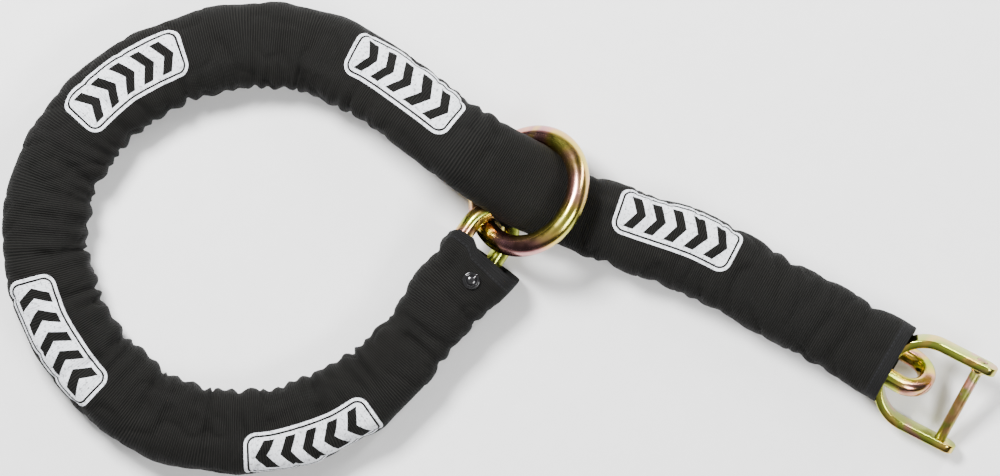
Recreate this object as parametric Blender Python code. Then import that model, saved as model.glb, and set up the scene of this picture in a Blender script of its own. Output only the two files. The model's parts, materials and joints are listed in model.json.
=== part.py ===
"""A noose chain lock: a square-bar steel chain in a fabric sleeve, with a round ring that the chain
runs through at one end and a flat-strap shackle at the other. It lies on a flat surface.

Blender 4.5, metres, +Z up. The origin is the centre of the whole object's box, at its lowest point.
"""

import math

import bmesh
import bpy
import numpy as np
from mathutils import Matrix, Vector

# Chain
LINKS = 27
BAR = 0.012  # side of the square bar
BAR_CHAMFER = 0.0030
EYE_WIDTH = 0.020
END_EYE_WIDTH = 0.026  # the first link is wider, so that it takes the ring
PITCH = 0.0453  # from one hinge point to the next
PLAY = 0.0024  # from a hinge point to the inside of each crown
LEAN = math.radians(45)  # links lean by this much to either side, in turn
END_LEANS = {1: math.radians(41), 27: math.radians(48)}
CROWN_STEPS = 6

# Sleeve
SLEEVE_HEIGHT = 0.0386
SLEEVE_WALL = 0.0012
WIDE = 0.058
NARROW = 0.0381  # where the ring grips it, and behind the first link
SEAM_GAP = 0.0003
HEM_AT_RING = 0.0215  # from the first hinge point
HEM_AT_SHACKLE = 0.0195  # back from the last hinge point

# Ring
RING_RADIUS = 0.0410  # of the bar's centreline
RING_BAR = 0.0154
RING_TILT = math.radians(37)
RING_UPHILL = math.radians(-31)  # heading of the ring's high side
RING_CENTRE = Vector((0.0202, 0.0329, 0.0330))
RING_TURNS, RING_SIDES = 40, 12

# Shackle
STRAP_WIDTH = 0.015
STRAP_THICKNESS = 0.0062
SHACKLE_INSIDE = 0.060  # between the arms
SHACKLE_DEPTH = 0.058  # from the pin's axis to the bow's middle
EAR_BEYOND_PIN = 0.0125
EAR_STEPS = (0.97, 0.85, 0.6, 0.3, 0.0)  # stations across the ear's rounded end, 1 at its tip
BOW_STEPS = 6
BOW_ROUNDNESS = 0.86  # the bow is a little flatter than a half circle
STRAP_CHAMFER = 0.0008
SWING_FROM_PIN = 0.0575  # from the pin back to the axis that the shackle swings on
SHACKLE_HEADING = math.radians(-27)
SHACKLE_ROLL = math.radians(21)
PIN_CENTRE = Vector((0.32586, -0.11754, 0.0207))
PIN_RADIUS = 0.004
PIN_FIT = 0.0003

# Snap stud in the sleeve's ring end
SNAP_CAP_RADIUS = 0.0062
SNAP_POST_RADIUS = 0.0016
SNAP_HOLE_RADIUS = 0.0022
SNAP_FROM_HEM = 0.0208
SNAP_ASIDE = 0.009  # to the left of the first link's middle
SNAP_CLEAR = 0.0003

FLAT = SLEEVE_HEIGHT / 2  # height of the chain's centreline where it lies flat
# The chain's route, from the ring round the noose, through the ring and along the tail
ROUTE = (
    (-0.0028, 0.0103, FLAT + 0.0056),
    (-0.0290, -0.0270, FLAT + 0.0030),
    (-0.0470, -0.0545, FLAT + 0.0008),
    (-0.0720, -0.0870, FLAT),
    (-0.1080, -0.1170, FLAT),
    (-0.1540, -0.1350, FLAT),
    (-0.2000, -0.1385, FLAT),
    (-0.2520, -0.1220, FLAT),
    (-0.2970, -0.0780, FLAT),
    (-0.3230, -0.0160, FLAT),
    (-0.3130, 0.0520, FLAT),
    (-0.2700, 0.1030, FLAT),
    (-0.2190, 0.1290, FLAT),
    (-0.1620, 0.1380, FLAT),
    (-0.1130, 0.1250, 0.0220),
    (-0.0700, 0.0980, 0.0382),
    (-0.0309, 0.0676, 0.0482),
    (0.0057, 0.0448, 0.0364),
    (0.0450, 0.0225, 0.0210),
    (0.0900, 0.0060, FLAT),
    (0.1410, -0.0120, FLAT),
    (0.1980, -0.0430, FLAT),
    (0.2460, -0.0702, FLAT),
    (0.2950, -0.0985, FLAT + 0.0050),
    (0.3300, -0.1200, FLAT + 0.0090),
)
ROOT_LINK = 21  # the link beside the ring on the tail's side; the others hang from it in both directions


def clear_scene():
    for obj in list(bpy.data.objects):
        bpy.data.objects.remove(obj)


def material(name, colour, roughness, metallic):
    made = bpy.data.materials.new(name)
    made.use_nodes = True
    shader = made.node_tree.nodes["Principled BSDF"]
    shader.inputs["Base Color"].default_value = (*colour, 1)
    shader.inputs["Roughness"].default_value = roughness
    shader.inputs["Metallic"].default_value = metallic
    return made


def add_object(name, bm, finish, parent, place=None):
    mesh = bpy.data.meshes.new(name)
    bm.to_mesh(mesh)
    bm.free()
    return add_mesh(name, mesh, finish, parent, place)


def add_mesh(name, mesh, finish, parent, place=None):
    obj = bpy.data.objects.new(name, mesh)
    bpy.context.scene.collection.objects.link(obj)
    if not mesh.materials:
        mesh.materials.append(finish)
        mesh.shade_smooth()
        mesh.set_sharp_from_angle(angle=math.radians(40))
    obj.parent = parent
    obj.matrix_local = place or Matrix()
    return obj


def pivot(name, matrix):
    empty = bpy.data.objects.new(name, None)
    bpy.context.scene.collection.objects.link(empty)
    empty.matrix_world = matrix
    return empty


def axes(origin, forward, side):
    """A frame with X forward and Y to the side; forward and side are at right angles."""
    up = forward.cross(side)
    return Matrix.Translation(origin) @ Matrix((forward, side, up)).transposed().to_4x4()


def smooth_route(points, steps=24):
    """Points along a Catmull-Rom curve through the route."""
    rows = [Vector(p) for p in points]
    rows = [2 * rows[0] - rows[1], *rows, 2 * rows[-1] - rows[-2]]
    curve = []
    for a, b, c, d in zip(rows, rows[1:], rows[2:], rows[3:]):
        for step in range(steps):
            t = step / steps
            bend = (2 * a - 5 * b + 4 * c - d) * t**2 + (3 * b - a - 3 * c + d) * t**3
            point = (2 * b + (c - a) * t + bend) / 2
            point.z = max(point.z, FLAT)
            curve.append(point)
    return curve + [rows[-2]]


def hinge_points():
    """LINKS + 1 points on the route, each one pitch from the last in a straight line."""
    curve = smooth_route(ROUTE)
    points = [curve[0]]
    for a, b in zip(curve, curve[1:]):
        while (b - points[-1]).length >= PITCH and len(points) <= LINKS:
            low, high = 0.0, 1.0
            for _ in range(40):
                middle = (low + high) / 2
                if (a.lerp(b, middle) - points[-1]).length < PITCH:
                    low = middle
                else:
                    high = middle
            points.append(a.lerp(b, high))
    return points


def side_of(forward):
    return Vector((0, 0, 1)).cross(forward).normalized()


def sweep(stations, closed):
    """A solid through rings of points, either closed on itself or capped at both ends."""
    bm = bmesh.new()
    rings = [[bm.verts.new(point) for point in station] for station in stations]
    pairs = list(zip(rings, rings[1:]))
    if closed:
        pairs.append((rings[-1], rings[0]))
    else:
        bm.faces.new(rings[0])
        bm.faces.new(rings[-1])
    for a, b in pairs:
        for i in range(len(a)):
            j = (i + 1) % len(a)
            bm.faces.new((a[i], a[j], b[j], b[i]))
    bmesh.ops.recalc_face_normals(bm, faces=bm.faces)
    return bm


def chamfered(width, height, chamfer):
    """Corners of a rectangle with its corners cut off."""
    w, h, c = width / 2, height / 2, chamfer
    quarter = [(w, h - c), (w - c, h)]
    return [
        *quarter,
        *[(-x, y) for x, y in reversed(quarter)],
        *[(-x, -y) for x, y in quarter],
        *[(x, -y) for x, y in reversed(quarter)],
    ]


def link_mesh(eye_width):
    """A link in its own XY plane, from the hinge point at the origin to the one at X = PITCH."""
    radius = eye_width / 2 + BAR / 2
    reach = PITCH / 2 + PLAY - eye_width / 2  # from the link's middle to a crown's centre
    profile = chamfered(BAR, BAR, BAR_CHAMFER)
    stations = []
    for end, start_angle in ((1, -math.pi / 2), (-1, math.pi / 2)):
        for step in range(CROWN_STEPS + 1):
            angle = start_angle + math.pi * step / CROWN_STEPS
            out = Vector((math.cos(angle), math.sin(angle), 0))
            centre = Vector((PITCH / 2 + end * reach, 0, 0))
            stations.append([centre + out * (radius + u) + Vector((0, 0, v)) for u, v in profile])
    mesh = bpy.data.meshes.new("chain_link")
    bm = sweep(stations, closed=True)
    bm.to_mesh(mesh)
    bm.free()
    return mesh


def sleeve_section(width, height):
    """Twelve points of an oval with a flat bottom and top; narrower ones are squarer."""
    wide = (width - NARROW) / (WIDE - NARROW)
    corner = [
        (1, 0.76 - 0.42 * wide),
        (0.87 - 0.02 * wide, 0.87 - 0.09 * wide),
        (0.76 - 0.23 * wide, 1),
    ]
    quarter = [(x * width / 2, y * height / 2) for x, y in corner]
    return [
        *quarter,
        *[(-x, y) for x, y in reversed(quarter)],
        *[(-x, -y) for x, y in quarter],
        *[(x, -y) for x, y in reversed(quarter)],
    ]


def sleeve_width(along):
    """Width of the sleeve at this many pitches from the ring's hinge point."""
    knots = (
        (0.0, 0.060), (0.5, 0.060), (1.0, 0.052), (2.0, NARROW), (3.0, 0.050), (4.0, WIDE),
        (16.5, WIDE), (18.0, 0.049), (19.0, NARROW), (21.0, NARROW), (22.0, 0.056), (23.0, WIDE),
        (27.0, 0.060),
    )
    return float(np.interp(along, [k[0] for k in knots], [k[1] for k in knots]))


def sleeve_height(along):
    """Height of the sleeve there. It stands taller over the wide first link and at its last hem."""
    height = SLEEVE_HEIGHT
    knots = ((0, height + 0.0032), (1, height + 0.0026), (2, height), (25, height), (27, 0.0414))
    return float(np.interp(along, [k[0] for k in knots], [k[1] for k in knots]))


def sleeve_ends(index):
    """Where sleeve piece number index starts and ends, in pitches from the first hinge point."""
    start, end = index - 1, index
    if index == 1:
        start = HEM_AT_RING / PITCH
    if index == LINKS:
        end = LINKS - HEM_AT_SHACKLE / PITCH
    return start, end


def sleeve_mesh(points, index, to_local):
    """One link's length of sleeve, mitred to its neighbours and open at both ends."""
    forward = (points[index] - points[index - 1]).normalized()
    ends = sleeve_ends(index)
    outer, inner = [], []
    for along, inward in zip(ends, (1, -1)):
        whole = round(along)
        at_hinge = abs(along - whole) < 1e-6 and 0 < whole < LINKS
        normal = forward
        if at_hinge:
            after = (points[whole + 1] - points[whole]).normalized()
            before = (points[whole] - points[whole - 1]).normalized()
            normal = (after + before).normalized()
        centre = points[index - 1] + (points[index] - points[index - 1]) * (along - index + 1)
        centre += forward * inward * SEAM_GAP / 2
        side, width, height = side_of(forward), sleeve_width(along), sleeve_height(along)
        up = forward.cross(side)
        for rings, cut in ((outer, 0), (inner, 2 * SLEEVE_WALL)):
            ring = []
            for x, z in sleeve_section(width - cut, height - cut):
                point = centre + side * x + up * z
                point -= forward * ((point - centre).dot(normal) / forward.dot(normal))
                ring.append(to_local @ point)
            rings.append(ring)
    return sweep([outer[0], outer[1], inner[1], inner[0]], closed=True)


def ring_mesh():
    stations = []
    for turn in range(RING_TURNS):
        angle = 2 * math.pi * turn / RING_TURNS
        out = Vector((math.cos(angle), math.sin(angle), 0))
        station = []
        for side in range(RING_SIDES):
            round_bar = 2 * math.pi * side / RING_SIDES
            radius = RING_RADIUS + RING_BAR / 2 * math.cos(round_bar)
            station.append(out * radius + Vector((0, 0, RING_BAR / 2 * math.sin(round_bar))))
        stations.append(station)
    return sweep(stations, closed=True)


def strap_route():
    """(centre, outward, scale of width) along the strap, in the shackle's own XY plane.

    X runs from the bow to the pin and Y from one arm to the other; the pin's axis is at X = 0.
    """
    half = (SHACKLE_INSIDE + STRAP_THICKNESS) / 2
    bend = half * BOW_ROUNDNESS
    flat = half - bend
    bow = -SHACKLE_DEPTH + bend
    rounding = STRAP_WIDTH / 2
    first = []
    for across in EAR_STEPS:
        x = EAR_BEYOND_PIN - rounding * (1 - across)
        first.append((Vector((x, half, 0)), Vector((0, 1, 0)), math.sqrt(1 - across**2)))
    for step in range(BOW_STEPS + 1):
        angle = math.pi / 2 * (1 + step / BOW_STEPS)
        out = Vector((math.cos(angle), math.sin(angle), 0))
        first.append((Vector((bow, flat, 0)) + out * bend, out, 1.0))
    second = [(Vector((c.x, -c.y, 0)), Vector((o.x, -o.y, 0)), s) for c, o, s in reversed(first)]
    return first + second


def strap_mesh():
    stations = []
    for centre, out, scale in strap_route():
        profile = chamfered(STRAP_THICKNESS, STRAP_WIDTH * scale, STRAP_CHAMFER)
        stations.append([centre + out * u + Vector((0, 0, v)) for u, v in profile])
    return sweep(stations, closed=False)


def turned(profile, sides):
    """A solid turned about Z from (radius, height) points that start and end off the axis."""
    stations = []
    for radius, height in profile:
        stations.append(
            [
                (
                    radius * math.cos(2 * math.pi * i / sides),
                    radius * math.sin(2 * math.pi * i / sides),
                    height,
                )
                for i in range(sides)
            ]
        )
    return sweep(stations, closed=False)


def cut_with(target, cutter):
    cutter.hide_render = True
    cutter.display_type = "WIRE"
    modifier = target.modifiers.new(cutter.name, "BOOLEAN")
    modifier.operation = "DIFFERENCE"
    modifier.object = cutter


def build_chain(points, plate, cloth):
    """The links and the sleeve, each pair parented to an empty on its joint. Returns the empties."""
    plain, wide = link_mesh(EYE_WIDTH), link_mesh(END_EYE_WIDTH)
    empties = {}
    for index in range(1, LINKS + 1):
        start, end = points[index - 1], points[index]
        forward = (end - start).normalized()
        frame = axes(start, forward, side_of(forward))
        joint_at = end if index < ROOT_LINK else start
        place = Matrix.Translation(joint_at) @ frame.to_3x3().to_4x4()
        empty = pivot(f"pivot_{index:02d}", place)
        to_local = place.inverted()
        # Odd links have their right-hand leg up, as seen along the chain, and even ones the left.
        lean = END_LEANS.get(index, LEAN) * (-1 if index % 2 else 1)
        local = to_local @ frame @ Matrix.Rotation(lean, 4, "X")
        add_mesh(f"link_{index:02d}", wide if index == 1 else plain, plate, empty, local)
        sleeve = sleeve_mesh(points, index, to_local)
        add_object(f"sleeve_{index:02d}", sleeve, cloth, empty)
        empties[index] = empty
    return empties


def build_ring(plate):
    uphill = Vector((math.cos(RING_UPHILL), math.sin(RING_UPHILL), 0))
    across = side_of(uphill)
    climb = uphill * math.cos(RING_TILT) + Vector((0, 0, math.sin(RING_TILT)))
    empty = pivot("pivot_ring", axes(RING_CENTRE, climb, across))
    add_object("ring", ring_mesh(), plate, empty)
    return empty


def build_shackle(plate):
    heading = Vector((math.cos(SHACKLE_HEADING), math.sin(SHACKLE_HEADING), 0))
    across = side_of(heading)
    frame = axes(PIN_CENTRE, heading, across) @ Matrix.Rotation(SHACKLE_ROLL, 4, "X")
    swing = Matrix.Translation(PIN_CENTRE - heading * SWING_FROM_PIN)
    empty = pivot("pivot_shackle", swing)
    local = swing.inverted() @ frame
    strap = add_object("shackle_strap", strap_mesh(), plate, empty, local)
    half = SHACKLE_INSIDE / 2 + STRAP_THICKNESS
    along_pin = local @ Matrix.Rotation(-math.pi / 2, 4, "X")
    hole = turned([(PIN_RADIUS + PIN_FIT, -half - 0.01), (PIN_RADIUS + PIN_FIT, half + 0.01)], 20)
    cut_with(strap, add_object("pin_hole", hole, plate, empty, along_pin))
    dome, rim = 0.0010, 0.0012
    profile = [
        (PIN_RADIUS - rim, -half - dome),
        (PIN_RADIUS, -half),
        (PIN_RADIUS, half),
        (PIN_RADIUS - rim, half + dome),
    ]
    add_object("shackle_pin", turned(profile, 20), plate, empty, along_pin)


def build_snap(points, empties, black):
    """A domed cap on the sleeve, with its post through the cloth and a washer behind it."""
    sleeve = bpy.data.objects["sleeve_01"]
    start, end = points[0], points[1]
    forward = (end - start).normalized()
    at = start + forward * (HEM_AT_RING + SNAP_FROM_HEM)
    side = side_of(forward)
    frame = axes(at + side * SNAP_ASIDE, forward, side)
    local = empties[1].matrix_world.inverted() @ frame
    top = sleeve_height((HEM_AT_RING + SNAP_FROM_HEM) / PITCH) / 2
    r, post, c = SNAP_CAP_RADIUS, SNAP_POST_RADIUS, SNAP_CLEAR
    low = top - SLEEVE_WALL - c
    cap = [
        (post, low - 0.0004),
        (post, top + c),
        (r, top + c),
        (r, top + c + 0.0008),
        (r * 0.86, top + c + 0.0014),
        (r * 0.68, top + c + 0.0016),
        (r * 0.50, top + c + 0.0026),
        (r * 0.20, top + c + 0.0031),
    ]
    add_object("snap_cap", turned(cap, 20), black, empties[1], local)
    hole = turned([(SNAP_HOLE_RADIUS, low - 0.002), (SNAP_HOLE_RADIUS, top + 0.002)], 16)
    cut_with(sleeve, add_object("snap_hole", hole, black, empties[1], local))


def centre_on_floor(moved):
    """Shifts the whole object so that the origin is the middle of its box, on the floor."""
    bpy.context.view_layer.update()
    graph = bpy.context.evaluated_depsgraph_get()
    corners = []
    for obj in bpy.context.scene.objects:
        if obj.type == "MESH" and not obj.hide_render:
            mesh = obj.evaluated_get(graph).to_mesh()
            corners += [obj.matrix_world @ v.co for v in mesh.vertices]
    low = Vector(min(c[i] for c in corners) for i in range(3))
    high = Vector(max(c[i] for c in corners) for i in range(3))
    middle = (low + high) / 2
    shift = Vector((middle.x, middle.y, low.z))
    for empty in moved:
        empty.location -= shift


def main():
    clear_scene()
    plate = material("yellow_plate", (0.62, 0.53, 0.30), 0.3, 1.0)
    cloth = material("sleeve_cloth", (0.035, 0.034, 0.032), 0.85, 0.0)
    black = material("snap_black", (0.01, 0.01, 0.01), 0.2, 0.0)
    points = hinge_points()
    empties = build_chain(points, plate, cloth)
    bpy.context.view_layer.update()
    build_ring(plate)
    build_shackle(plate)
    build_snap(points, empties, black)
    bpy.context.view_layer.update()
    centre_on_floor([o for o in bpy.context.scene.objects if o.type == "EMPTY"])


main()
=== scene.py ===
"""The looks of a noose chain lock: a gathered black fabric sleeve over a square-bar chain, and
yellow-plated steel for the links, the ring and the shackle, lying on a pale floor.

Blender 4.5, metres, +Z up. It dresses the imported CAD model, whose frame it shares.
"""

import json
import math

import bmesh
import bpy
import numpy as np
from mathutils import Matrix, Vector, noise
from mathutils.bvhtree import BVHTree


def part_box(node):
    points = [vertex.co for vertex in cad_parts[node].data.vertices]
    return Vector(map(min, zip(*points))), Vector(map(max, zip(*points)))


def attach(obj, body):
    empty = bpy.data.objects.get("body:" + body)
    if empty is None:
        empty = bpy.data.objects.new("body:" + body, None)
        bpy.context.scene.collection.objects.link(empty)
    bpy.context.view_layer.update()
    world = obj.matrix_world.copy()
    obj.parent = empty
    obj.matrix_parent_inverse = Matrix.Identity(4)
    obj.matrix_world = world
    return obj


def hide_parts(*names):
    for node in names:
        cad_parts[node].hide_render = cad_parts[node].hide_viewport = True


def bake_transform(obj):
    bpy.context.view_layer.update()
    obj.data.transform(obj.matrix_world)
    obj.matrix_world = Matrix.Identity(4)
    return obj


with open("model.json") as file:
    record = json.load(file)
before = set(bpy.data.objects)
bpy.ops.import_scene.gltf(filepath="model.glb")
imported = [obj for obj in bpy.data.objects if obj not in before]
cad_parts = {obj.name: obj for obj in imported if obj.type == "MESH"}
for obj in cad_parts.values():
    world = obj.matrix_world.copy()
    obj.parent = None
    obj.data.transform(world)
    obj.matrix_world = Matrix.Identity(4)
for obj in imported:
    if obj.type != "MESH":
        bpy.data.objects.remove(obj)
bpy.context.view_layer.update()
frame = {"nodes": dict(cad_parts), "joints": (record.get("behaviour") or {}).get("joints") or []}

# Chain, as in the CAD model
LINKS = 27
BAR = 0.012
BAR_ROUNDING = 0.0044
EYE_WIDTH = 0.020
END_EYE_WIDTH = 0.026
PITCH = 0.0453
PLAY = 0.0024
FIRST_LEAN, LAST_LEAN = math.radians(-41), math.radians(-48)

# Sleeve: knots are (pitches from the ring's hinge point, metres)
NARROW, WIDE = 0.0381, 0.058
HEIGHT = 0.0386
WIDTH_KNOTS = (
    (0.0, 0.061), (0.5, 0.060), (1.0, 0.057), (1.5, 0.053), (2.0, 0.050), (2.5, 0.051),
    (3.0, 0.054), (4.0, WIDE), (8.0, 0.060), (13.0, 0.060), (16.5, WIDE), (17.5, 0.055),
    (18.5, 0.056), (19.3, 0.058), (19.9, 0.062), (20.4, 0.062), (20.8, 0.055), (21.1, 0.053),
    (21.5, 0.058), (22.0, 0.057), (23.0, WIDE), (25.5, 0.057), (27.0, 0.061),
)
HEIGHT_KNOTS = ((0, 0.0418), (1, 0.0412), (2, HEIGHT), (25, HEIGHT), (27, 0.0414))
HEM_AT_RING = 0.0175  # from the first hinge point
HEM_AT_SHACKLE = 0.0165  # back from the last hinge point
HEM_ASIDE = 0.007  # the ring end's cloth hangs to the left of its link
HEM_BAND = 0.009
HEM_FOLD = 0.012  # how far the cloth turns back inside
STATIONS = 24  # per pitch
AROUND = 88
CLEAR_OF_STEEL = 0.0005
OVER_LINKS = 0.0015  # how far the cloth is meant to stand off the CAD's links
FLOOR_GAP = 0.0003
FULL_BEND = 0.24  # radians a pitch at which the gathers are all on the inside
SEED = 7

# Prints on the sleeve: (pitches along, metres to the left of the sleeve's top line)
PRINTS = ((4.39, 0.018), (8.68, 0.0135), (13.1, 0.0055), (17.69, 0.012), (22.64, 0.0127))
PRINT_HALF = (0.0445, 0.0178)
PRINT_CORNER = 0.009
PRINT_LINE = (0.0029, 0.0007)  # how far in, and half its width
CHEVRON_STEP, CHEVRON_SLOPE, CHEVRON_SHARE = 0.0150, 0.55, 0.48
CHEVRON_INSET = 0.0062
RIB = 0.0016
THREAD = 0.0009
STITCH = 0.003
STITCH_INSET, STITCH_HALF = 0.0014, 0.00045

# Ring
RING_RADIUS = 0.0410
RING_BAR = 0.0154

# Shackle
STRAP_WIDTH = 0.015
STRAP_THICKNESS = 0.0062
STRAP_ROUNDING = 0.0012
SHACKLE_INSIDE = 0.060
SHACKLE_DEPTH = 0.058
EAR_BEYOND_PIN = 0.0125
BOW_ROUNDNESS = 0.86
SHACKLE_HEADING = math.radians(-27)
SHACKLE_ROLL = math.radians(21)
PIN_RADIUS = 0.004
PIN_FIT = 0.0003
PIN_COLLAR = (0.0052, 0.0030)  # radius and length

# Snap stud
SNAP_FROM_END = 0.0423  # from the first hinge point
SNAP_ASIDE = 0.009
SNAP_RADIUS = 0.0062

# Camera: the frame is this wide at the object
VIEW_WIDTH = 0.7095
VIEW_CENTRE = Vector((0.0003, -0.0005, 0.020))
LENS, SENSOR = 200, 36


# ---------------------------------------------------------------- shapes


def hinge_points():
    """The chain's hinge points, from the ring's end to the shackle's."""
    places = {j["name"]: j["pos_m"] for j in frame["joints"]}
    points = [None] + [Vector(places[f"bend_{k:02d}_{k + 1:02d}"]) for k in range(1, LINKS)]
    points[0] = 2 * middle_of("link_01") - points[1]
    return points + [2 * middle_of(f"link_{LINKS:02d}") - points[-1]]


def middle_of(node):
    low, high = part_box(node)
    return (Vector(low) + Vector(high)) / 2


def side_of(forward):
    return Vector((0, 0, 1)).cross(forward).normalized()


def axes(origin, forward, side):
    up = forward.cross(side)
    return Matrix.Translation(origin) @ Matrix((forward, side, up)).transposed().to_4x4()


def mesh_object(name, bm, finish, sharp=40):
    mesh = bpy.data.meshes.new(name)
    bmesh.ops.recalc_face_normals(bm, faces=bm.faces)
    bm.to_mesh(mesh)
    bm.free()
    mesh.materials.append(finish)
    mesh.shade_smooth()
    mesh.set_sharp_from_angle(angle=math.radians(sharp))
    obj = bpy.data.objects.new(name, mesh)
    bpy.context.scene.collection.objects.link(obj)
    return obj


def sweep(stations, closed):
    """A closed surface through rings of points."""
    bm = bmesh.new()
    rings = [[bm.verts.new(point) for point in station] for station in stations]
    pairs = list(zip(rings, rings[1:]))
    if closed:
        pairs.append((rings[-1], rings[0]))
    else:
        bm.faces.new(rings[0])
        bm.faces.new(rings[-1])
    for a, b in pairs:
        for i in range(len(a)):
            j = (i + 1) % len(a)
            bm.faces.new((a[i], a[j], b[j], b[i]))
    return bm


def rounded(width, height, radius, steps=5):
    """Points round a rectangle with round corners."""
    points = []
    for quarter, (sx, sy) in enumerate(((1, 1), (-1, 1), (-1, -1), (1, -1))):
        for step in range(steps + 1):
            angle = math.pi / 2 * (quarter + step / steps)
            x = sx * (width / 2 - radius) + radius * math.cos(angle)
            y = sy * (height / 2 - radius) + radius * math.sin(angle)
            points.append((x, y))
    return points


def link_bmesh(eye_width, place, crown_steps=24):
    """A link from the hinge point at its own origin to the one at X = PITCH."""
    radius = eye_width / 2 + BAR / 2
    reach = PITCH / 2 + PLAY - eye_width / 2
    profile = rounded(BAR, BAR, BAR_ROUNDING)
    stations = []
    for end, start_angle in ((1, -math.pi / 2), (-1, math.pi / 2)):
        for step in range(crown_steps + 1):
            angle = start_angle + math.pi * step / crown_steps
            out = Vector((math.cos(angle), math.sin(angle), 0))
            centre = Vector((PITCH / 2 + end * reach, 0, 0))
            stations.append(
                [place @ (centre + out * (radius + u) + Vector((0, 0, v))) for u, v in profile]
            )
    return sweep(stations, closed=True)


def ring_bmesh(place, turns=144, sides=36):
    stations = []
    for turn in range(turns):
        angle = 2 * math.pi * turn / turns
        out = Vector((math.cos(angle), math.sin(angle), 0))
        station = []
        for side in range(sides):
            round_bar = 2 * math.pi * side / sides
            radius = RING_RADIUS + RING_BAR / 2 * math.cos(round_bar)
            height = RING_BAR / 2 * math.sin(round_bar)
            station.append(place @ (out * radius + Vector((0, 0, height))))
        stations.append(station)
    return sweep(stations, closed=True)


def strap_stations():
    """(centre, outward, share of the width) along the strap; X runs from the bow to the pin."""
    half = (SHACKLE_INSIDE + STRAP_THICKNESS) / 2
    bend = half * BOW_ROUNDNESS
    flat, bow = half - bend, -SHACKLE_DEPTH + bend
    rounding = STRAP_WIDTH / 2
    outward = Vector((0, 1, 0))
    first = []
    for step in range(12):
        across = math.cos(math.pi / 2 * (step + 0.6) / 11.6)
        x = EAR_BEYOND_PIN - rounding * (1 - across)
        first.append((Vector((x, half, 0)), outward, math.sqrt(1 - across**2)))
    for step in range(1, 5):
        x = (EAR_BEYOND_PIN - rounding) * (1 - step / 5) + bow * step / 5
        first.append((Vector((x, half, 0)), outward, 1.0))
    for step in range(25):
        angle = math.pi / 2 * (1 + step / 24)
        out = Vector((math.cos(angle), math.sin(angle), 0))
        first.append((Vector((bow, flat, 0)) + out * bend, out, 1.0))
    back = reversed(first)
    return first + [(Vector((c.x, -c.y, 0)), Vector((o.x, -o.y, 0)), s) for c, o, s in back]


def strap_bmesh(place):
    stations = []
    for centre, out, share in strap_stations():
        width = STRAP_WIDTH * share
        rounding = min(STRAP_ROUNDING, width * 0.45)
        profile = rounded(STRAP_THICKNESS, width, rounding, steps=4)
        stations.append([place @ (centre + out * u + Vector((0, 0, v))) for u, v in profile])
    return sweep(stations, closed=False)


def turned_bmesh(profile, place, sides=48):
    """A solid turned about Z from (radius, height) points."""
    stations = []
    for radius, height in profile:
        angles = [2 * math.pi * i / sides for i in range(sides)]
        stations.append(
            [place @ Vector((radius * math.cos(a), radius * math.sin(a), height)) for a in angles]
        )
    return sweep(stations, closed=False)


def cut(target, bm, finish):
    """Cuts the mesh in bm out of target."""
    cutter = mesh_object("cutter", bm, finish)
    modifier = target.modifiers.new("cut", "BOOLEAN")
    modifier.operation, modifier.object = "DIFFERENCE", cutter
    with bpy.context.temp_override(object=target):
        bpy.ops.object.modifier_apply(modifier="cut")
    bpy.data.objects.remove(cutter)
    target.data.set_sharp_from_angle(angle=math.radians(40))


# ---------------------------------------------------------------- sleeve


def smoothstep(low, high, x):
    t = np.clip((x - low) / (high - low), 0, 1)
    return t * t * (3 - 2 * t)


def eased(along, knots):
    """A smooth curve through the knots."""
    at = np.array([k[0] for k in knots], float)
    value = np.array([k[1] for k in knots], float)
    fine = np.linspace(at[0] - 1, at[-1] + 1, 2000)
    rough = np.interp(fine, at, value)
    width = int(0.7 / (fine[1] - fine[0]))
    kernel = np.hanning(width + 2)
    smooth = np.convolve(np.pad(rough, width, "edge"), kernel / kernel.sum(), "same")
    return np.interp(along, fine, smooth[width:-width])


def centreline(points, along):
    """Where the sleeve's middle runs: part way from straight links to a smooth curve."""
    rows = np.array([2 * points[0] - points[1], *points, 2 * points[-1] - points[-2]])
    first = np.clip(np.floor(along).astype(int), 0, LINKS - 1)
    t = (along - first)[:, None]
    a, b, c, d = (rows[first + k] for k in range(4))
    square, cube = 2 * a - 5 * b + 4 * c - d, 3 * b - a - 3 * c + d
    curve = (2 * b + (c - a) * t + square * t**2 + cube * t**3) / 2
    path = 0.5 * curve + 0.5 * (b + (c - b) * t)
    for _ in range(12):
        path[1:-1] = (path[:-2] + 2 * path[1:-1] + path[2:]) / 4
    return path


def section(width, height, top_power, bottom_power):
    """AROUND evenly spaced points of a soft oval, and its girth.

    They start at the underside's middle and go round the right side first.
    """
    angle = np.linspace(-math.pi / 2, 3 * math.pi / 2, 721)
    x, z = np.cos(-angle - math.pi), np.sin(angle)
    power = np.where(z > 0, top_power, bottom_power)
    x = np.sign(x) * np.abs(x) ** (2 / power) * width / 2
    z = np.sign(z) * np.abs(z) ** (2 / power) * height / 2
    run = np.concatenate([[0], np.cumsum(np.hypot(np.diff(x), np.diff(z)))])
    at = np.linspace(0, run[-1], AROUND + 1)
    return np.interp(at, run, x)[:-1], np.interp(at, run, z)[:-1], run[-1]


def creases(rng):
    """(place, depth, width, slant, reach) of each gather across the sleeve, in metres."""
    made = []
    place = 0.95 * PITCH
    while place < (LINKS - 1) * PITCH:
        bunched = 0.9 < place / PITCH < 3.4
        depth = rng.uniform(0.0020, 0.0050) * (1.25 if bunched else 1.0)
        width, slant = rng.uniform(0.0018, 0.0038), rng.uniform(-0.007, 0.007)
        made.append((place, depth, width, slant, rng.uniform(-0.9, 0.55)))
        place += rng.uniform(0.009, 0.019) * (0.8 if bunched else 1.0)
    return made


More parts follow.
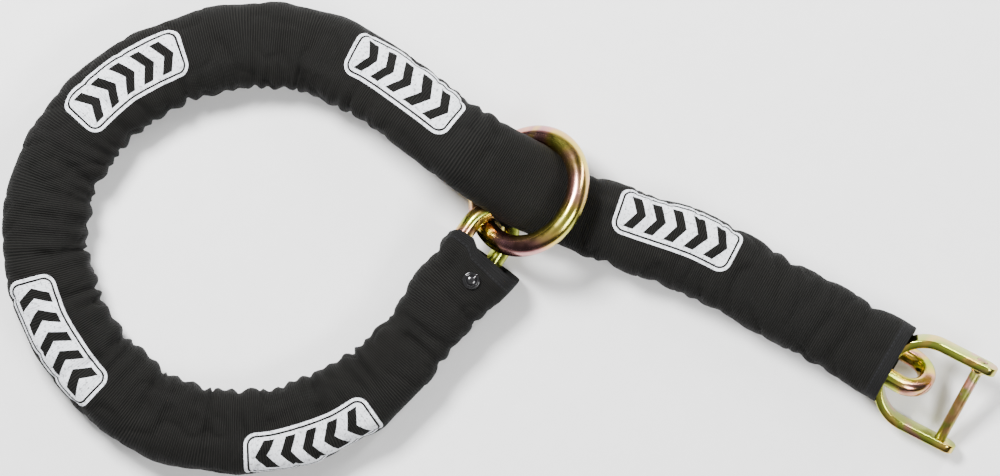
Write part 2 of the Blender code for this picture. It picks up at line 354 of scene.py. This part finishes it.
def gathers(along, x_hat, bend):
    """How far the cloth stands out, in metres: sharp gathers on the inside of each bend."""
    inward = x_hat * np.clip(bend / FULL_BEND, -1, 1)[:, None]
    straight = 1 - np.clip(np.abs(bend) / FULL_BEND, 0, 1)[:, None]
    rng = np.random.default_rng(SEED)
    valley = np.zeros_like(x_hat)
    place = along[:, None] * PITCH
    for at, depth, width, slant, reach in creases(rng):
        side = 1 if rng.random() < 0.5 else -1
        toward = inward + straight * side * x_hat
        gap = (place - at - slant * (1 - np.abs(toward))) / width
        fold = np.exp(1 - np.sqrt(1 + gap**2))
        held = smoothstep(reach - 0.35, reach + 0.75, toward) * (1 - 0.45 * straight)
        valley = np.maximum(valley, depth * fold * held)
    puff = 0.0016 * smoothstep(-0.3, 1, inward) + 0.0007
    facet = -0.0008 * np.cos(2 * math.pi * along)[:, None] * smoothstep(0.2, 1, -inward)
    return puff - valley + facet


def ripples(along, around):
    """Low, soft unevenness of slack cloth."""
    made = np.zeros_like(around)
    for i, a in enumerate(along):
        s = a * PITCH
        for j, v in enumerate(around[i]):
            broad = noise.noise(Vector((s * 42, v * 22, 1.7)))
            crinkle = noise.noise(Vector((s * 120, v * 48, 5.1)))
            crease = 1 - abs(noise.noise(Vector((s * 55 + v * 14, v * 30, 9.3)))) * 2.2
            made[i, j] = 0.0013 * broad + 0.0005 * crinkle - 0.0018 * max(crease, 0) ** 5
    return made


def tube_mesh(name, grid):
    """A mesh over rows of points that close round each row."""
    rows, columns = grid.shape[:2]
    index = np.arange(rows * columns).reshape(rows, columns)
    after = np.roll(index, -1, axis=1)
    faces = np.stack([index[:-1], index[1:], after[1:], after[:-1]], axis=-1).reshape(-1, 4)
    mesh = bpy.data.meshes.new(name)
    mesh.from_pydata(grid.reshape(-1, 3).tolist(), [], faces.tolist())
    return mesh


def vertex_normals(mesh, shape):
    normals = np.zeros(len(mesh.vertices) * 3)
    mesh.vertices.foreach_get("normal", normals)
    return normals.reshape(shape)


def steel_tree(links):
    """One search tree over several of the CAD's links."""
    vertices, faces = [], []
    for index in links:
        mesh = frame["nodes"][f"link_{index:02d}"].data
        start = len(vertices)
        vertices += [v.co.copy() for v in mesh.vertices]
        faces += [[start + i for i in p.vertices] for p in mesh.polygons]
    return BVHTree.FromPolygons(vertices, faces)


def over_the_chain(grid, up_and_out, along):
    """Moves cloth that a link would pierce out over the link."""
    push = np.zeros(grid.shape[:2])
    near_ring, beyond = steel_tree(range(1, 8)), steel_tree(range(4, LINKS + 1))
    for i in range(grid.shape[0]):
        tree = near_ring if along[i] < 5.5 else beyond
        for j in range(grid.shape[1]):
            out = Vector(up_and_out[i, j])
            start = Vector(grid[i, j]) - out * OVER_LINKS
            hit, _, _, distance = tree.ray_cast(start, out, 0.012)
            if hit is not None:
                push[i, j] = distance
    spread = push.copy()
    for _ in range(3):
        near = (np.roll(spread, 1, 1) + np.roll(spread, -1, 1)) / 2
        near[1:-1] = (near[1:-1] * 2 + spread[:-2] + spread[2:]) / 4
        spread = np.maximum(push, near)
    return grid + up_and_out * spread[:, :, None]


def beside_first_link(grid, along):
    """Presses the cloth that passes the first link off its surface."""
    tree = steel_tree([1])
    grid = grid.copy()
    for i in np.flatnonzero((along > 18) & (along < 22)):
        for j in range(grid.shape[1]):
            point = Vector(grid[i, j])
            at, normal, _, _ = tree.find_nearest(point, 0.012)
            if at is not None and (point - at).dot(normal) < CLEAR_OF_STEEL:
                grid[i, j] = at + normal * CLEAR_OF_STEEL
    return grid


def clear_of_ring(grid, centre, axis):
    """Squeezes cloth that would lie inside the ring's bar out to its surface."""
    offset = grid - centre
    height = offset @ axis
    flat = offset - height[..., None] * axis
    radius = np.linalg.norm(flat, axis=-1, keepdims=True)
    core = centre + flat / radius * RING_RADIUS
    away = grid - core
    distance = np.linalg.norm(away, axis=-1, keepdims=True)
    reach = RING_BAR / 2 + CLEAR_OF_STEEL / 2
    return np.where(distance < reach, core + away / distance * reach, grid)


def hem_dip(along, x_hat, z_hat):
    """The ring end's cloth hangs between the link's two legs."""
    near = np.exp(-(((along - HEM_AT_RING / PITCH) / 0.33) ** 2))[:, None]
    return -0.0055 * near * np.exp(-(((x_hat - 0.35) / 0.40) ** 2)) * smoothstep(0.1, 0.6, z_hat)


def set_back(along, x_hat, z_hat):
    """The hem sits closer to the ring over the link's high leg than over its low one."""
    across = (-1.0, -0.78, -0.45, -0.2, 0.2, 1.0)
    shape = np.interp(x_hat, across, (0.0065, 0.0005, 0.0, 0.0052, 0.0062, 0.0085))
    shape = np.where(z_hat > 0, shape, 0.0065)
    start = HEM_AT_RING / PITCH
    return shape * (1 - smoothstep(start, start + 0.75, along))[:, None]


def sleeve_grid(points, ring_centre, ring_axis):
    """The whole sleeve as rows of points, with each row's place and each point's way round."""
    start, end = HEM_AT_RING / PITCH, LINKS - HEM_AT_SHACKLE / PITCH
    halves = [start] + [k - 0.5 for k in range(1, LINKS + 1)] + [end]
    along = [start]
    for a, b in zip(halves, halves[1:]):
        count = max(2, round((b - a) * STATIONS))
        along += list(np.linspace(a, b, count + 1)[1:])
    along = np.array(along)
    path = centreline(points, along)
    aside = HEM_ASIDE * (1 - smoothstep(0.4, 1.7, along))[:, None]
    path += aside * np.array(side_of(points[1] - points[0]))
    forward = np.gradient(path, axis=0)
    forward /= np.linalg.norm(forward, axis=1, keepdims=True)
    side = np.cross([0, 0, 1], forward)
    side /= np.linalg.norm(side, axis=1, keepdims=True)
    up = np.cross(forward, side)
    heading = np.unwrap(np.arctan2(forward[:, 1], forward[:, 0]))
    bend = np.gradient(heading, along)
    kernel = np.hanning(STATIONS * 2)
    bend = np.convolve(np.pad(bend, STATIONS, "edge"), kernel / kernel.sum(), "same")
    bend = bend[STATIONS:-STATIONS]
    width, height = eased(along, WIDTH_KNOTS), eased(along, HEIGHT_KNOTS)
    x = np.zeros((len(along), AROUND))
    z, around = x.copy(), x.copy()
    for i in range(len(along)):
        loose = np.clip((width[i] - NARROW) / (WIDE - NARROW), 0, 1)
        x[i], z[i], girth = section(width[i], height[i], 5 - 2.2 * loose, 5 - 1.4 * loose)
        around[i] = np.linspace(-girth / 2, girth / 2, AROUND + 1)[:-1]
    x_hat, z_hat = x / (width[:, None] / 2), z / (height[:, None] / 2)
    tangent_x, tangent_z = (np.roll(a, -1, 1) - np.roll(a, 1, 1) for a in (x, z))
    length = np.hypot(tangent_x, tangent_z)
    out_x, out_z = -tangent_z / length, tangent_x / length
    if (out_x * x + out_z * z).mean() < 0:
        out_x, out_z = -out_x, -out_z
    out = side[:, None] * out_x[..., None] + up[:, None] * out_z[..., None]
    stand = gathers(along, x_hat, bend) + ripples(along, around)
    free = smoothstep(-0.92, -0.55, z_hat)
    gripped = smoothstep(19.0, 19.6, along) * (1 - smoothstep(21.0, 21.4, along))
    hems = smoothstep(start + 0.1, start + 0.5, along) * (1 - smoothstep(end - 0.5, end, along))
    stand *= free * (1 - 0.9 * gripped)[:, None] * (0.15 + 0.85 * hems)[:, None]
    stand += hem_dip(along, x_hat, z_hat)
    from_snap_row = (along * PITCH - SNAP_FROM_END)[:, None]
    from_snap = np.hypot(from_snap_row, around - (SNAP_ASIDE - HEM_ASIDE))
    stand *= smoothstep(0.006, 0.016, from_snap)
    grid = path[:, None] + side[:, None] * x[..., None] + up[:, None] * z[..., None]
    grid += out * stand[..., None] + forward[:, None] * set_back(along, x_hat, z_hat)[..., None]
    grid = over_the_chain(grid, out, along)
    grid = beside_first_link(grid, along)
    grid = clear_of_ring(grid, ring_centre, ring_axis)
    grid[..., 2] = np.maximum(grid[..., 2], FLOOR_GAP)
    return along, grid, around, out, forward


def folded_in(grid, out, forward, first):
    """Rows that turn the cloth over the hem and back inside, from the end row."""
    row = 0 if first else -1
    ahead = forward[row] * (-1 if first else 1)
    edge, way = grid[row], out[row]
    turns = (
        (0.0004, -0.0002), (0.0006, -0.0007), (0.0003, -0.0012), (-0.002, -0.0014),
        (-HEM_FOLD, -0.0022),
    )
    rows = [edge + ahead * on + way * inward for on, inward in turns]
    return np.array(rows[::-1] if first else rows)


def build_sleeve(points, ring_centre, ring_axis, cloth):
    along, grid, around, out, forward = sleeve_grid(points, ring_centre, ring_axis)
    lead, tail = folded_in(grid, out, forward, True), folded_in(grid, out, forward, False)
    extra = len(lead)
    grid = np.concatenate([lead, grid, tail])
    place = np.concatenate([np.full(extra, along[0]), along, np.full(extra, along[-1])])
    around = np.pad(around, ((extra, extra), (0, 0)), "edge")
    whole = tube_mesh("whole", grid)
    normals = vertex_normals(whole, grid.shape)
    bpy.data.meshes.remove(whole)
    cuts = [extra + int(np.argmin(np.abs(along - (k - 0.5)))) for k in range(1, LINKS + 1)]
    spans = list(zip([0, *cuts], [*cuts, len(grid) - 1]))
    for index, (a, b) in enumerate(spans):
        rows = slice(a, b + 1)
        parts = (values[rows] for values in (grid, place, around, normals))
        obj = cloth_piece(f"sleeve_cloth_{index:02d}", *parts, cloth)
        if index == 0:
            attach(obj, "chain_01")
        elif index == LINKS:
            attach(obj, f"chain_{LINKS:02d}")
        else:
            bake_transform(obj)
        if index:
            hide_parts(f"sleeve_{index:02d}")


def cloth_piece(name, grid, place, around, normals, cloth):
    """One piece of the sleeve, with a UV map in metres and one measured from the nearest print."""
    mesh = tube_mesh(name, grid)
    mesh.materials.append(cloth)
    mesh.shade_smooth()
    rows, columns = grid.shape[:2]
    wide = np.concatenate([around, -around[:, :1]], axis=1)
    u = np.repeat((place * PITCH)[:, None], columns + 1, 1)
    flat = np.stack([u, wide], axis=-1)
    corners = np.stack([flat[:-1, :-1], flat[1:, :-1], flat[1:, 1:], flat[:-1, 1:]], axis=2)
    middle = place[:-1] + np.diff(place) / 2
    centres = np.array([(at * PITCH, left) for at, left in PRINTS])
    nearest = np.argmin(np.abs(middle[:, None] * PITCH - centres[None, :, 0]), axis=1)
    from_print = corners - centres[nearest][:, None, None]
    for label, values in (("Cloth", corners), ("Print", from_print)):
        layer = mesh.uv_layers.new(name=label)
        layer.data.foreach_set("uv", values.reshape(-1).astype(np.float32))
    mesh.normals_split_custom_set_from_vertices(normals.reshape(-1, 3).tolist())
    obj = bpy.data.objects.new(name, mesh)
    bpy.context.scene.collection.objects.link(obj)
    return obj


# ---------------------------------------------------------------- materials


class Shader:
    """Adds nodes to a new material and links them to its Principled shader."""

    def __init__(self, name):
        self.material = bpy.data.materials.new(name)
        self.material.use_nodes = True
        self.tree = self.material.node_tree
        self.surface = self.tree.nodes["Principled BSDF"]

    def feed(self, socket, value):
        if isinstance(value, bpy.types.NodeSocket):
            self.tree.links.new(value, socket)
        else:
            socket.default_value = value

    def node(self, kind, settings=None, **inputs):
        made = self.tree.nodes.new("ShaderNode" + kind)
        for key, value in (settings or {}).items():
            setattr(made, key, value)
        for key, value in inputs.items():
            self.feed(made.inputs[key.replace("_", " ")], value)
        return made

    def maths(self, operation, *values):
        made = self.node("Math", {"operation": operation})
        for socket, value in zip(made.inputs, values):
            self.feed(socket, value)
        return made.outputs[0]

    def noise(self, vector, scale, detail=3.0, roughness=0.5, distortion=0.0):
        sizes = {"Scale": scale, "Detail": detail, "Roughness": roughness, "Distortion": distortion}
        return self.node("TexNoise", Vector=vector, **sizes).outputs["Fac"]

    def ramp(self, factor, stops):
        made = self.node("ValToRGB", Fac=factor)
        band = made.color_ramp
        while len(band.elements) < len(stops):
            band.elements.new(0.5)
        for element, (at, colour) in zip(band.elements, stops):
            element.position, element.color = at, (*colour, 1)
        return made.outputs["Color"]

    def mix(self, factor, a, b):
        made = self.node("Mix", {"data_type": "RGBA"})
        self.feed(made.inputs[0], factor)
        for socket, value in ((made.inputs[6], a), (made.inputs[7], b)):
            self.feed(socket, (*value, 1) if isinstance(value, tuple) else value)
        return made.outputs[2]

    def between(self, value, low, high, to_low, to_high):
        spans = {"From_Min": low, "From_Max": high, "To_Min": to_low, "To_Max": to_high}
        return self.node("MapRange", Value=value, **spans).outputs[0]

    def bump(self, height, distance, strength=1.0, normal=None):
        made = self.node("Bump", Height=height, Distance=distance, Strength=strength)
        if normal is not None:
            self.feed(made.inputs["Normal"], normal)
        return made.outputs[0]

    def finish(self, **inputs):
        for key, value in inputs.items():
            self.feed(self.surface.inputs[key.replace("_", " ")], value)
        return self.material


def print_mask(s):
    """1 where the reflective print is: a round-cornered patch, an inner line and chevrons."""
    place = s.node("UVMap", {"uv_map": "Print"}).outputs[0]
    split = s.node("SeparateXYZ", Vector=place)
    x, y = split.outputs[0], split.outputs[1]
    beyond = [
        s.maths("SUBTRACT", s.maths("ABSOLUTE", v), half - PRINT_CORNER)
        for v, half in zip((x, y), PRINT_HALF)
    ]
    past = [s.maths("MAXIMUM", v, 0.0) for v in beyond]
    outside = s.maths("SQRT", s.maths("ADD", *(s.maths("MULTIPLY", v, v) for v in past)))
    inside = s.maths("MINIMUM", s.maths("MAXIMUM", *beyond), 0.0)
    distance = s.maths("SUBTRACT", s.maths("ADD", outside, inside), PRINT_CORNER)
    patch = s.maths("LESS_THAN", distance, 0.0)
    off_line = s.maths("ABSOLUTE", s.maths("ADD", distance, PRINT_LINE[0]))
    line = s.maths("LESS_THAN", off_line, PRINT_LINE[1])
    slope = s.maths("MULTIPLY", s.maths("ABSOLUTE", y), CHEVRON_SLOPE)
    turn = s.maths("FRACT", s.maths("DIVIDE", s.maths("ADD", x, slope), CHEVRON_STEP))
    bars = s.maths("LESS_THAN", turn, CHEVRON_SHARE)
    middle = s.maths("LESS_THAN", distance, -CHEVRON_INSET)
    dark = s.maths("MAXIMUM", line, s.maths("MULTIPLY", bars, middle))
    return s.maths("MULTIPLY", patch, s.maths("SUBTRACT", 1.0, dark))


def cloth_material():
    """Black ribbed cloth with worn reflective prints, hem bands and their stitches; painted shade
    darkens the rib grooves and the print lying in them.
    """
    s = Shader("sleeve_ribbed_cloth")
    place = s.node("UVMap", {"uv_map": "Cloth"}).outputs[0]
    split = s.node("SeparateXYZ", Vector=place)
    u, v = split.outputs[0], split.outputs[1]
    wander = s.maths("MULTIPLY", s.maths("SUBTRACT", s.noise(place, 70.0), 0.5), 0.0007)
    rib = s.maths("SINE", s.maths("MULTIPLY", s.maths("ADD", u, wander), 2 * math.pi / RIB))
    thread = s.maths("SINE", s.maths("MULTIPLY", v, 2 * math.pi / THREAD))
    start, end = HEM_AT_RING, LINKS * PITCH - HEM_AT_SHACKLE
    from_hem = s.maths("MINIMUM", s.maths("SUBTRACT", u, start), s.maths("SUBTRACT", end, u))
    hem = s.maths("LESS_THAN", from_hem, HEM_BAND)
    off_row = s.maths("ABSOLUTE", s.maths("SUBTRACT", from_hem, HEM_BAND - STITCH_INSET))
    row = s.maths("LESS_THAN", off_row, STITCH_HALF)
    sewing = s.maths("SINE", s.maths("MULTIPLY", v, 2 * math.pi / STITCH))
    dash = s.maths("GREATER_THAN", sewing, -0.35)
    stitch = s.maths("MULTIPLY", row, dash)
    broad = s.noise(place, 26.0, detail=4.0, roughness=0.6)
    fleck = s.noise(place, 900.0, detail=2.0)
    dyed = s.ramp(broad, ((0.3, (0.0050, 0.0048, 0.0040)), (0.72, (0.0105, 0.0100, 0.0088))))
    # painted shade: the cloth colour goes nearly black in the rib grooves, where the ribbed relief
    # is low
    groove_shaded_cloth = s.mix(s.between(rib, -0.6, 0.6, 0.0, 1.0), (0.0012, 0.0012, 0.0010), dyed)
    groove_shaded_cloth = s.mix(s.between(fleck, 0.62, 0.78, 0.0, 0.25), groove_shaded_cloth, (0.035, 0.033, 0.031))
    banded = s.mix(s.maths("MULTIPLY", hem, 0.6), groove_shaded_cloth, (0.0080, 0.0080, 0.0086))
    sewn = s.mix(s.maths("MULTIPLY", stitch, 0.7), banded, (0.018, 0.018, 0.020))
    worn = s.between(s.noise(place, 420.0, detail=3.0, roughness=0.65), 0.36, 0.46, 0.45, 1.0)
    white = s.maths("MULTIPLY", print_mask(s), worn)
    # painted shade: the print is dimmed in the rib grooves
    white = s.maths("MULTIPLY", white, s.between(rib, -1.0, 1.0, 0.90, 1.0))
    colour = s.mix(white, sewn, (0.80, 0.82, 0.86))
    weave = s.maths("ADD", s.maths("MULTIPLY", rib, 0.5), s.maths("MULTIPLY", thread, 0.16))
    weave = s.maths("MULTIPLY", weave, s.maths("SUBTRACT", 1.0, s.maths("MULTIPLY", white, 0.6)))
    relief = s.maths("ADD", weave, s.maths("MULTIPLY", s.maths("ADD", stitch, hem), 0.9))
    normal = s.bump(relief, 0.00035)
    normal = s.bump(s.noise(place, 160.0, detail=4.0), 0.0007, 0.35, normal)
    return s.finish(
        Base_Color=colour,
        Roughness=s.between(broad, 0.3, 0.7, 0.72, 0.90),
        Normal=normal,
        Sheen_Weight=0.008,
        Sheen_Roughness=0.40,
        Specular_IOR_Level=0.16,
    )


def plate_material(name, stops, scale=40.0, place=None, roughness=(0.13, 0.27)):
    """Yellow-passivated zinc: green, gold and pink bands, fine scratches and duller patches."""
    s = Shader(name)
    where = s.node("TexCoord").outputs["Object"]
    if place is not None:
        where = s.node("Mapping", Vector=where, Rotation=place[0], Scale=place[1]).outputs[0]
    band = s.noise(where, scale, detail=1.0, roughness=0.45, distortion=1.1)
    patch = s.noise(where, scale * 3.2, detail=4.0, roughness=0.6)
    mixed = s.maths("ADD", s.maths("MULTIPLY", band, 0.88), s.maths("MULTIPLY", patch, 0.12))
    colour = s.ramp(mixed, stops)
    stain = s.between(s.noise(where, scale * 1.7, detail=5.0, roughness=0.7), 0.58, 0.78, 0.0, 0.45)
    colour = s.mix(stain, colour, (0.26, 0.18, 0.09))
    scratch = s.noise(where, 1400.0, detail=2.0)
    normal = s.bump(patch, 0.0004, 0.12)
    normal = s.bump(scratch, 0.00004, 0.20, normal)
    return s.finish(
        Base_Color=colour,
        Metallic=1.0,
        Roughness=s.between(patch, 0.3, 0.7, *roughness),
        Normal=normal,
    )


def enamel_material():
    s = Shader("snap_enamel")
    where = s.node("TexCoord").outputs["Object"]
    speck = s.noise(where, 700.0)
    return s.finish(
        Base_Color=s.ramp(speck, ((0.3, (0.004, 0.004, 0.004)), (0.8, (0.014, 0.014, 0.015)))),
        Roughness=s.between(speck, 0.3, 0.7, 0.10, 0.22),
        Coat_Weight=0.6,
        Coat_Roughness=0.08,
    )


OLIVE, LEAF = (0.27, 0.29, 0.055), (0.46, 0.52, 0.075)
GOLD, STRAW = (0.74, 0.53, 0.11), (0.86, 0.72, 0.26)
PINK, ROSE, BRONZE = (0.64, 0.31, 0.24), (0.50, 0.24, 0.26), (0.38, 0.22, 0.09)
RING_STOPS = ((0.30, LEAF), (0.40, GOLD), (0.50, PINK), (0.58, ROSE), (0.66, GOLD), (0.76, OLIVE))
LINK_STOPS = ((0.30, OLIVE), (0.42, LEAF), (0.52, GOLD), (0.62, PINK), (0.74, BRONZE))
STRAP_STOPS = ((0.28, BRONZE), (0.38, GOLD), (0.47, LEAF), (0.56, LEAF), (0.64, PINK), (0.76, GOLD))
PIN_STOPS = ((0.34, BRONZE), (0.45, OLIVE), (0.54, (0.36, 0.27, 0.15)), (0.64, PINK))


# ---------------------------------------------------------------- pieces


def stand_for(obj, body, slot, *nodes):
    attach(obj, body)
    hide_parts(*nodes)


def build_links(points, plate):
    for index, eye, lean in ((1, END_EYE_WIDTH, FIRST_LEAN), (LINKS, EYE_WIDTH, LAST_LEAN)):
        node = f"link_{index:02d}"
        forward = (points[index] - points[index - 1]).normalized()
        place = axes(points[index - 1], forward, side_of(forward)) @ Matrix.Rotation(lean, 4, "X")
        obj = mesh_object("end_" + node, link_bmesh(eye, place), plate, sharp=60)
        stand_for(obj, f"chain_{index:02d}", "yellow_plate", node)
    for index in range(2, LINKS):
        dress(f"link_{index:02d}", plate)


def dress(node, finish):
    for slot in frame["nodes"][node].material_slots:
        slot.material = finish


def build_shackle(strap_finish, pin_finish, collar_finish):
    heading = Vector((math.cos(SHACKLE_HEADING), math.sin(SHACKLE_HEADING), 0))
    place = axes(middle_of("shackle_pin"), heading, side_of(heading))
    place = place @ Matrix.Rotation(SHACKLE_ROLL, 4, "X")
    along_pin = place @ Matrix.Rotation(-math.pi / 2, 4, "X")
    half = SHACKLE_INSIDE / 2 + STRAP_THICKNESS
    strap = mesh_object("strap", strap_bmesh(place), strap_finish)
    hole = PIN_RADIUS + PIN_FIT
    cut(strap, turned_bmesh([(hole, -half - 0.01), (hole, half + 0.01)], along_pin), strap_finish)
    stand_for(strap, "shackle", "yellow_plate", "shackle_strap")
    r, dome = PIN_RADIUS, 0.0010
    profile = [
        (r * 0.25, -half - dome), (r * 0.7, -half - dome * 0.8),
        (r * 0.94, -half - dome * 0.3), (r, -half + 0.0002),
        (r, half - 0.0002), (r * 0.94, half + dome * 0.3),
        (r * 0.7, half + dome * 0.8), (r * 0.25, half + dome),
    ]
    pin = mesh_object("pin", turned_bmesh(profile, along_pin), pin_finish, sharp=50)
    stand_for(pin, "shackle", "yellow_plate", "shackle_pin")
    low = SHACKLE_INSIDE / 2
    wide, long = PIN_COLLAR
    shape = [
        (r + 0.0001, low - long), (wide - 0.0004, low - long), (wide, low - long + 0.0004),
        (wide, low - 0.0003), (r + 0.0001, low - 0.0002),
    ]
    collar = mesh_object("pin_collar", turned_bmesh(shape, along_pin), collar_finish, sharp=50)
    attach(collar, "shackle")


def build_snap(points, enamel):
    forward = (points[1] - points[0]).normalized()
    at = points[0] + forward * SNAP_FROM_END + side_of(forward) * SNAP_ASIDE
    place = axes(at, forward, side_of(forward))
    top = float(np.interp(SNAP_FROM_END / PITCH, *zip(*HEIGHT_KNOTS))) / 2
    r = SNAP_RADIUS
    profile = [
        (0.0014, top - 0.0016), (0.0014, top), (r * 0.97, top), (r, top + 0.0004),
        (r, top + 0.0009), (r * 0.95, top + 0.0014), (r * 0.86, top + 0.0015),
        (r * 0.78, top + 0.0012), (r * 0.72, top + 0.0013), (r * 0.62, top + 0.0021),
        (r * 0.46, top + 0.0028), (r * 0.26, top + 0.0032), (r * 0.06, top + 0.0033),
    ]
    snap = mesh_object("snap", turned_bmesh(profile, place), enamel, sharp=50)
    stand_for(snap, "chain_01", "snap_black", "snap_cap")


def build_ring(centre, axis, plate):
    turn = axis.to_track_quat("Z", "Y").to_matrix().to_4x4()
    ring = mesh_object("noose_ring", ring_bmesh(Matrix.Translation(centre) @ turn), plate)
    stand_for(ring, "ring", "yellow_plate", "ring")


# ---------------------------------------------------------------- stage


def area_light(name, place, target, size, power, colour=(1, 1, 1)):
    data = bpy.data.lights.new(name, "AREA")
    data.shape, data.size, data.size_y = "RECTANGLE", *size
    data.energy, data.color = power, colour
    obj = bpy.data.objects.new(name, data)
    bpy.context.scene.collection.objects.link(obj)
    obj.location = place
    obj.rotation_euler = (Vector(target) - Vector(place)).to_track_quat("-Z", "Y").to_euler()
    obj.visible_camera = False


def build_stage():
    s = Shader("pale_floor")
    where = s.node("TexCoord").outputs["Object"]
    grain = s.noise(where, 60.0)
    greys = ((0.3, (0.90, 0.90, 0.90)), (0.7, (0.92, 0.92, 0.92)))
    floor_finish = s.finish(Base_Color=s.ramp(grain, greys), Roughness=0.8)
    bm = bmesh.new()
    bmesh.ops.create_grid(bm, x_segments=1, y_segments=1, size=6)
    floor = mesh_object("floor", bm, floor_finish)
    world = bpy.data.worlds.new("studio")
    bpy.context.scene.world = world
    world.use_nodes = True
    tree = world.node_tree
    where = tree.nodes.new("ShaderNodeTexCoord").outputs["Generated"]
    split = tree.nodes.new("ShaderNodeSeparateXYZ")
    ramp = tree.nodes.new("ShaderNodeValToRGB")
    tree.links.new(where, split.inputs[0])
    tree.links.new(split.outputs[2], ramp.inputs[0])
    tree.links.new(ramp.outputs[0], tree.nodes["Background"].inputs[0])
    tree.nodes["Background"].inputs[1].default_value = 1.0
    bands = ((0.0, 0.90), (0.18, 0.04), (0.62, 0.04), (0.84, 0.55), (1.0, 0.24))
    while len(ramp.color_ramp.elements) < len(bands):
        ramp.color_ramp.elements.new(0.5)
    for element, (at, value) in zip(ramp.color_ramp.elements, bands):
        element.position, element.color = at, (value, value, value, 1)
    area_light("key", (-0.7, 0.9, 1.5), (0, 0, 0), (0.6, 0.45), 100)
    area_light("fill", (0.9, -0.7, 1.4), (0, 0, 0), (0.8, 0.5), 26)
    area_light("strip", (0.9, 0.9, 0.7), (0.15, 0, 0.03), (0.12, 1.0), 16)


def build_camera():
    data = bpy.data.cameras.new("camera")
    data.lens, data.sensor_width = LENS, SENSOR
    camera = bpy.data.objects.new("camera", data)
    bpy.context.scene.collection.objects.link(camera)
    camera.location = VIEW_CENTRE + Vector((0, 0, VIEW_WIDTH * LENS / SENSOR))
    bpy.context.scene.camera = camera


def main():
    build_stage()
    build_camera()
    points = hinge_points()
    ring_joint = next(j for j in frame["joints"] if j["name"] == "ring_turn")
    ring_centre, ring_axis = Vector(ring_joint["pos_m"]), Vector(ring_joint["axis"])
    link_plate = plate_material("plate_links", LINK_STOPS, scale=34.0)
    build_links(points, link_plate)
    build_ring(ring_centre, ring_axis, plate_material("plate_ring", RING_STOPS, scale=24.0))
    build_shackle(
        plate_material("plate_strap", STRAP_STOPS, scale=28.0),
        plate_material("plate_pin", PIN_STOPS, scale=60.0, roughness=(0.3, 0.5)),
        plate_material("plate_collar", ((0.3, GOLD), (0.6, STRAW)), scale=90.0),
    )
    build_snap(points, enamel_material())
    build_sleeve(points, np.array(ring_centre), np.array(ring_axis), cloth_material())


main()
